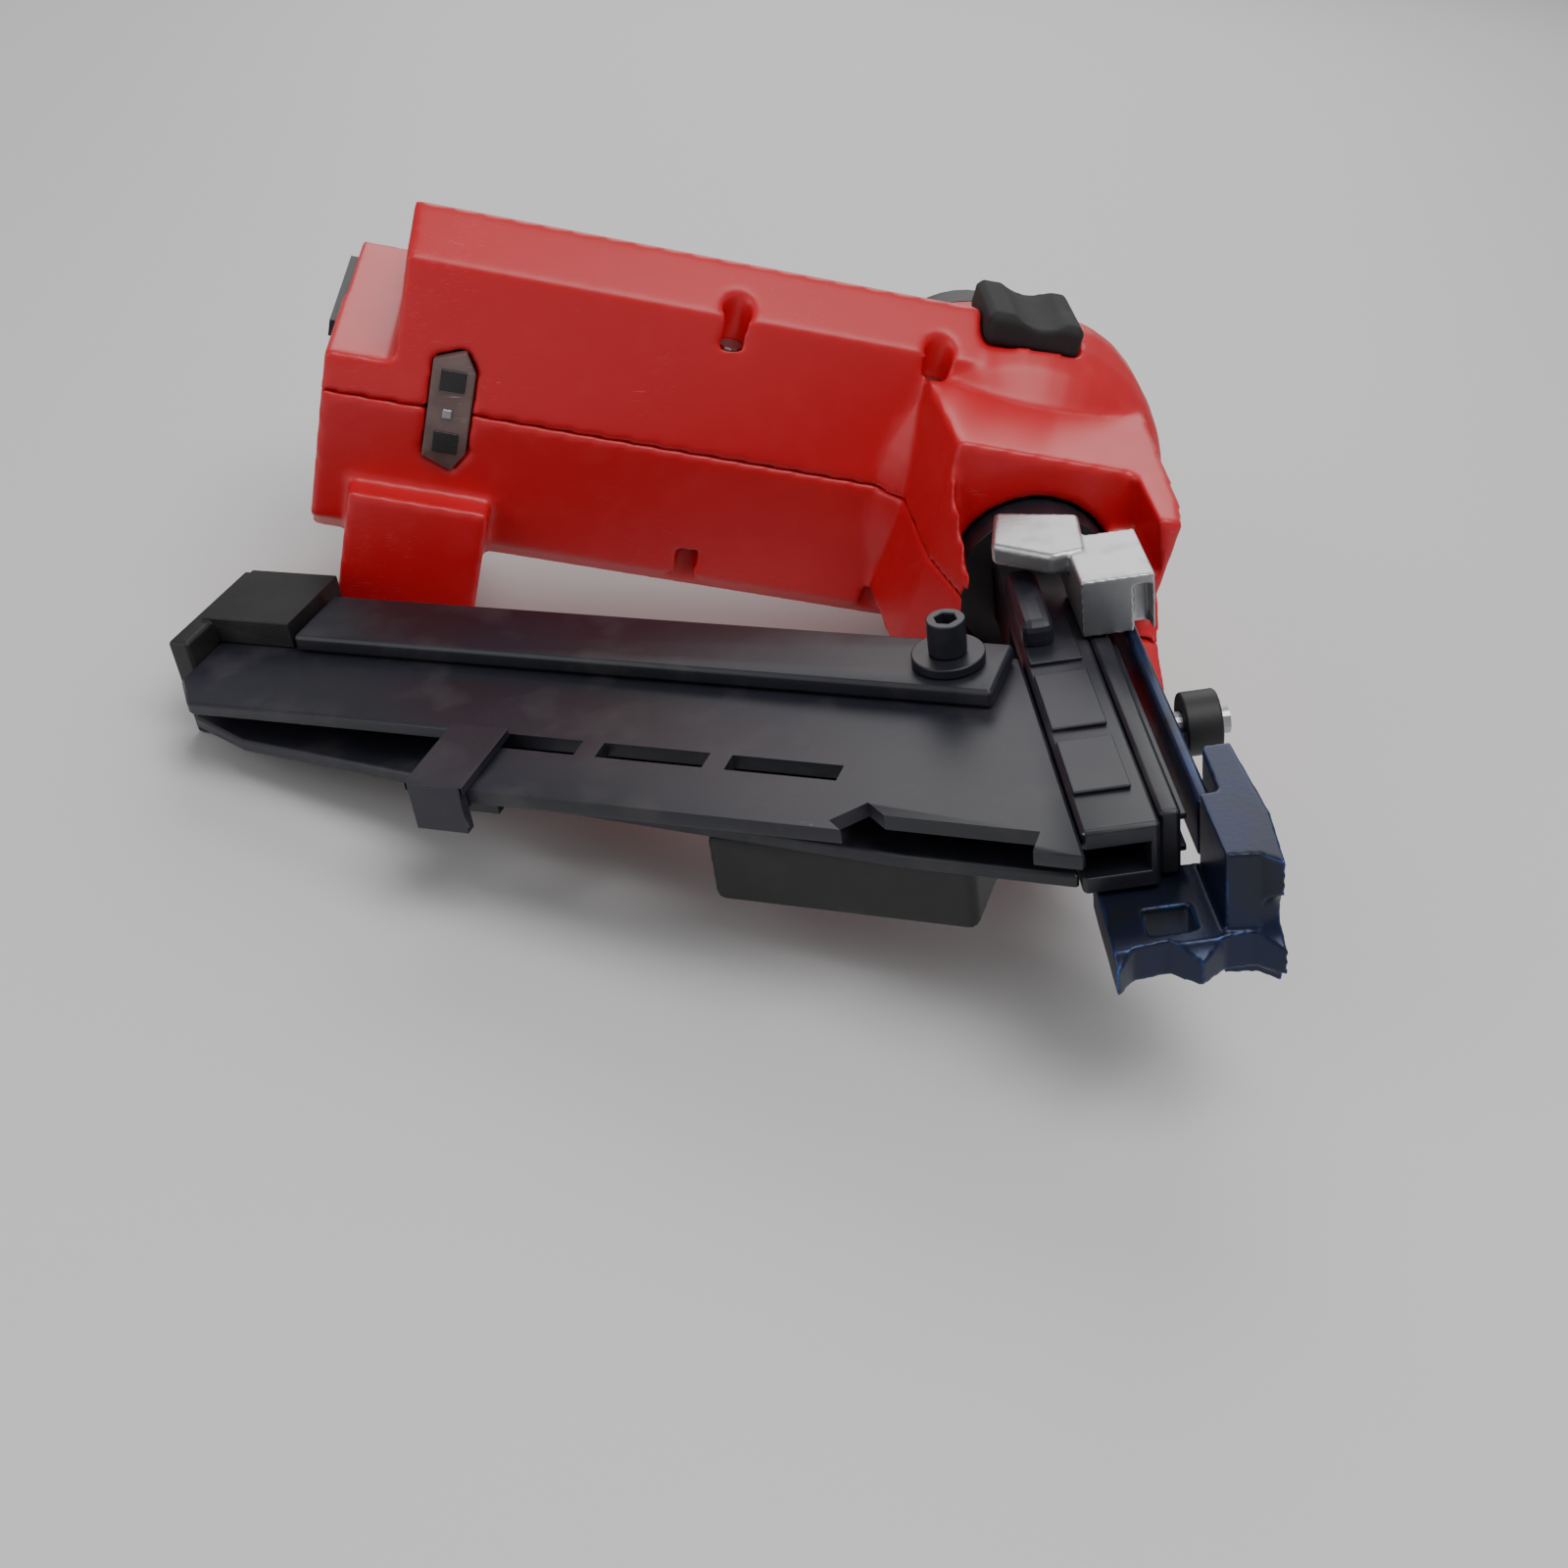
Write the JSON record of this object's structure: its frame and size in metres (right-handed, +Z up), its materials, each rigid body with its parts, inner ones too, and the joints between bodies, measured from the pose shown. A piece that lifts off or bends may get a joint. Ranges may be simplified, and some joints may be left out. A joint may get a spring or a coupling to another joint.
{
  "type": "cordless framing nailer",
  "caption": "Framing nailer on its side: clamshell body with handle and motor bar, canted slanting strip magazine, nose with toothed contact claw and jam latch.",
  "frame": {"origin": "middle of the bounding box, at the height of the bench the tool lies on", "axes": "+Y from the nose along the drive axis to the head cap, +X to the front of the housing, +Z up from the bench; the tool lies on its side with its body tilted 8 degrees about Y"},
  "size_m": [0.3218, 0.34, 0.1552],
  "materials": {
    "red_housing": "semi-gloss moulded",
    "black_plastic": "satin moulded",
    "rubber": "matt",
    "cast_metal": "cast",
    "steel": "satin",
    "smoked_lens": "smoked translucent",
    "copper": "wound copper",
    "board": "circuit board",
    "black_metal": "satin black paint over steel"
  },
  "bodies": {
    "frame": {"battery_seat": "black_plastic", "battery_terminals": "steel", "contact_spring": "steel", "control_board": "board", "cylinder_base": "cast_metal", "cylinder_tube": "steel", "flange_washer": "black_metal", "gearbox_case": "cast_metal", "handle_grip_lower": "rubber", "handle_grip_upper": "rubber", "head_cap": "black_plastic", "housing_lower_shell": "red_housing", "housing_screw_lower_1": "steel", "housing_screw_lower_2": "steel", "housing_screw_upper_1": "steel", "housing_screw_upper_2": "steel", "housing_upper_shell": "red_housing", "led_board": "board", "light_lens": "smoked_lens", "magazine_bolt": "black_metal", "magazine_end_cap": "black_plastic", "magazine_plate_lower": "black_metal", "magazine_plate_upper": "black_metal", "magazine_rail_lower": "black_metal", "magazine_rail_upper": "black_metal", "magazine_spine": "black_metal", "motor_stator": "copper", "nail_track": "steel", "no_mar_block": "black_plastic", "nose_door": "black_metal", "nose_frame": "black_metal", "piston_bumper": "rubber", "pressure_chamber": "cast_metal", "side_bumper_lower": "rubber", "side_bumper_upper": "rubber", "trigger_switch": "black_plastic"},
    "trigger": {"trigger": "black_plastic"},
    "contact": {"contact_arm": "steel", "contact_claw": "black_metal", "depth_axle": "steel"},
    "depth_dial": {"depth_wheel": "black_plastic"},
    "pusher": {"pusher": "black_metal"},
    "piston": {"piston": "cast_metal", "driver_blade": "steel"},
    "rotor": {"motor_rotor": "steel"},
    "lifter": {"lifter_wheel": "steel"},
    "latch": {"jam_latch": "cast_metal"}
  },
  "joints": [
    {"name": "trigger_pull", "type": "hinge", "parent": "frame", "child": "trigger", "pos_m": [0.04734, 0.135, 0.07769], "axis": [-0.1392, 0, -0.9903], "range_deg": [0, 10], "stiffness_Nm_per_rad": 0.3, "springref_deg": -5.73},
    {"name": "contact_press", "type": "slide", "parent": "frame", "child": "contact", "axis": [0, 1, 0], "range_m": [0, 0.006], "stiffness_N_per_m": 600, "springref_m": -0.004},
    {"name": "depth_turn", "type": "hinge", "parent": "contact", "child": "depth_dial", "pos_m": [0.13618, -0.088, 0.07522], "axis": [0.9806, 0, 0.1959], "range_deg": [0, 300]},
    {"name": "pusher_slide", "type": "slide", "parent": "frame", "child": "pusher", "axis": [0.9027, -0.3907, 0.1804], "range_m": [0, 0.1]},
    {"name": "piston_stroke", "type": "slide", "parent": "frame", "child": "piston", "axis": [0, -1, 0], "range_m": [0, 0.029]},
    {"name": "lifter_spin", "type": "hinge", "parent": "frame", "child": "lifter", "pos_m": [0.08696, 0.079, 0.07212], "axis": [0.9903, 0, -0.1392], "continuous": true},
    {"name": "rotor_spin", "type": "hinge", "parent": "frame", "child": "rotor", "pos_m": [-0.02198, 0.079, 0.08743], "axis": [0.9903, 0, -0.1392], "continuous": true},
    {"name": "latch_swing", "type": "hinge", "parent": "frame", "child": "latch", "pos_m": [0.11461, -0.02, 0.0913], "axis": [-0.1959, 0, 0.9806], "range_deg": [0, 25]}
  ],
  "couplings": [
    {"joint": "rotor_spin", "follows": "lifter_spin", "ratio": 24}
  ]
}
